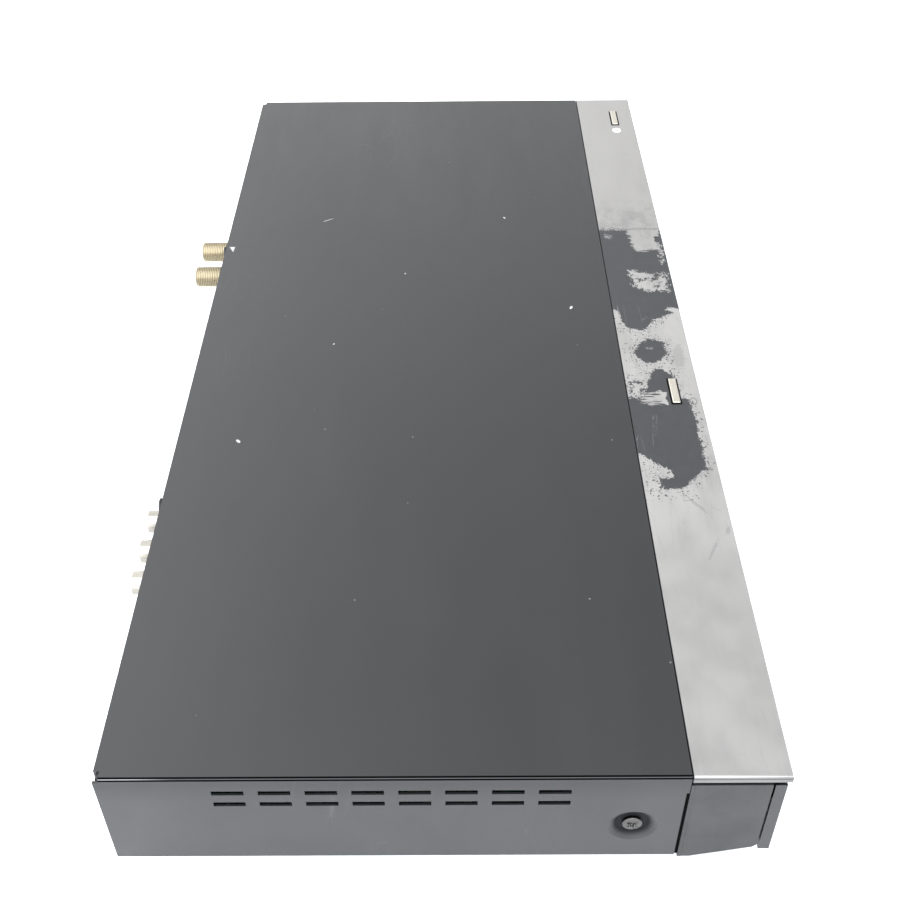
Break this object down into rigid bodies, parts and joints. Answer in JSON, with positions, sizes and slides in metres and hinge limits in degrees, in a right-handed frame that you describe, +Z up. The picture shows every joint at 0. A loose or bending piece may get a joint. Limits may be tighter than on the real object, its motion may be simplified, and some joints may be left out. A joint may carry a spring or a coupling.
{
  "type": "disc recorder",
  "caption": "Slim full-width disc recorder with folded steel cover, silver top strip with two keys, sliding disc tray, hinged card flap and rear sockets",
  "frame": {"origin": "middle of the bounding box in X and Y, on the surface that the feet stand on", "axes": "+X to the right along the width seen from the front, -Y out of the front, +Z up"},
  "size_m": [0.43, 0.215, 0.0497],
  "materials": {
    "cover_paint": "satin",
    "rear_paint": "satin",
    "pan_steel": "galvanised",
    "cap_silver": "satin silver paint",
    "housing_dark": "matte",
    "plate_black": "gloss",
    "window_smoke": "gloss",
    "button_metal": "satin",
    "light_lens": "frosted",
    "foot_rubber": "matte",
    "screw_steel": "zinc",
    "screw_black": "satin",
    "board_green": "solder mask",
    "drive_black": "matte",
    "drive_steel": "galvanised",
    "gear_white": "moulded",
    "belt_rubber": "matte",
    "motor_steel": "plated",
    "sink_aluminium": "extruded",
    "disk_aluminium": "cast",
    "socket_plating": "plated",
    "jack_plastic": "moulded",
    "socket_black": "moulded",
    "shell_metal": "plated",
    "capacitor_sleeve": "sleeve",
    "core_iron": "varnished",
    "lens_glass": "polished",
    "fan_black": "moulded"
  },
  "bodies": {
    "root": {"top_cover": "cover_paint", "bottom_chassis": "pan_steel", "rubber_feet": "foot_rubber", "rear_panel": "rear_paint", "front_cap": "cap_silver", "front_body": "housing_dark", "front_plate": "plate_black", "display_window": "window_smoke", "display_tube": "socket_black", "front_board": "board_green", "card_slots": "socket_black", "front_serial_port": "shell_metal", "key_switches": "socket_black", "key_board": "board_green", "power_light": "light_lens", "drive_frame": "drive_black", "drive_bridge": "drive_steel", "loading_belt": "belt_rubber", "loading_motor": "motor_steel", "hard_disk": "disk_aluminium", "hard_disk_brackets": "pan_steel", "main_board": "board_green", "heat_sinks": "sink_aluminium", "power_board": "board_green", "transformer": "core_iron", "capacitors": "capacitor_sleeve", "tuner_can": "drive_steel", "antenna_connectors": "socket_plating", "av_jack_block": "jack_plastic", "av_jack_shells": "shell_metal", "network_socket": "socket_black", "digital_socket": "shell_metal", "rear_serial_port": "shell_metal", "power_inlet": "socket_black", "fan_frame": "fan_black", "side_screws": "screw_steel", "rear_screws": "screw_black"},
    "tray": {"disc_tray": "drive_black", "tray_bezel": "plate_black"},
    "drive_gear_body": {"drive_gear": "gear_white"},
    "pulley_gear_body": {"pulley_gear": "gear_white"},
    "motor_pulley_body": {"motor_pulley": "gear_white"},
    "clamp": {"clamp_puck": "drive_black"},
    "cam": {"cam_slider": "gear_white"},
    "traverse": {"traverse_plate": "drive_steel", "damper_bushes": "foot_rubber", "spindle_motor": "motor_steel", "guide_rod": "screw_steel", "sled_motor": "motor_steel"},
    "spindle": {"turntable": "drive_black"},
    "sled": {"pickup": "sink_aluminium", "pickup_lens": "lens_glass"},
    "screw": {"lead_screw": "screw_steel"},
    "open_key": {"open_close_button": "button_metal", "open_close_plunger": "socket_black"},
    "power_key": {"power_button": "button_metal", "power_plunger": "socket_black"},
    "flap": {"front_flap": "plate_black", "flap_pins": "screw_steel"},
    "fan": {"fan_rotor": "fan_black"}
  },
  "joints": [
    {"name": "tray_slide", "type": "slide", "parent": "root", "child": "tray", "axis": [0, -1, 0], "range_m": [0, 0.14]},
    {"name": "drive_gear_spin", "type": "hinge", "parent": "root", "child": "drive_gear_body", "pos_m": [0.028, -0.0622, 0.024], "axis": [0, 0, 1], "range_deg": [-803, 0]},
    {"name": "pulley_gear_spin", "type": "hinge", "parent": "root", "child": "pulley_gear_body", "pos_m": [0.008, -0.0622, 0.024], "axis": [0, 0, 1], "range_deg": [0, 1766]},
    {"name": "motor_pulley_spin", "type": "hinge", "parent": "root", "child": "motor_pulley_body", "pos_m": [-0.03, -0.0622, 0.027], "axis": [0, 0, 1], "range_deg": [0, 5745]},
    {"name": "traverse_lift", "type": "slide", "parent": "root", "child": "traverse", "axis": [0, 0, 1], "range_m": [0, 0.005]},
    {"name": "cam_slide", "type": "slide", "parent": "root", "child": "cam", "axis": [-1, 0, 0], "range_m": [0, 0.02]},
    {"name": "spindle_spin", "type": "hinge", "parent": "traverse", "child": "spindle", "pos_m": [-0.018, -0.012, 0.026], "axis": [0, 0, 1], "continuous": true},
    {"name": "clamp_spin", "type": "hinge", "parent": "root", "child": "clamp", "pos_m": [-0.018, -0.012, 0.047], "axis": [0, 0, 1], "continuous": true},
    {"name": "sled_slide", "type": "slide", "parent": "traverse", "child": "sled", "axis": [0, 1, 0], "range_m": [0, 0.034]},
    {"name": "lead_screw_turn", "type": "hinge", "parent": "traverse", "child": "screw", "pos_m": [0.01, 0.03, 0.0202], "axis": [0, 1, 0], "range_deg": [0, 4081]},
    {"name": "open_close_press", "type": "slide", "parent": "root", "child": "open_key", "axis": [0, 0, -1], "range_m": [0, 0.0006], "stiffness_N_per_m": 2500},
    {"name": "power_press", "type": "slide", "parent": "root", "child": "power_key", "axis": [0, 0, -1], "range_m": [0, 0.0006], "stiffness_N_per_m": 2500},
    {"name": "flap_hinge", "type": "hinge", "parent": "root", "child": "flap", "pos_m": [0.1595, -0.1047, 0.0137], "axis": [1, 0, 0], "range_deg": [0, 90]},
    {"name": "fan_spin", "type": "hinge", "parent": "root", "child": "fan", "pos_m": [0.151, 0.085, 0.0278], "axis": [0, 1, 0], "continuous": true}
  ],
  "couplings": [
    {"joint": "drive_gear_spin", "follows": "tray_slide", "rad_per_m": -100},
    {"joint": "pulley_gear_spin", "follows": "tray_slide", "rad_per_m": 220},
    {"joint": "motor_pulley_spin", "follows": "tray_slide", "rad_per_m": 715.5},
    {"joint": "cam_slide", "follows": "traverse_lift", "ratio": 4},
    {"joint": "clamp_spin", "follows": "spindle_spin", "ratio": 1},
    {"joint": "lead_screw_turn", "follows": "sled_slide", "rad_per_m": 2094.4}
  ]
}
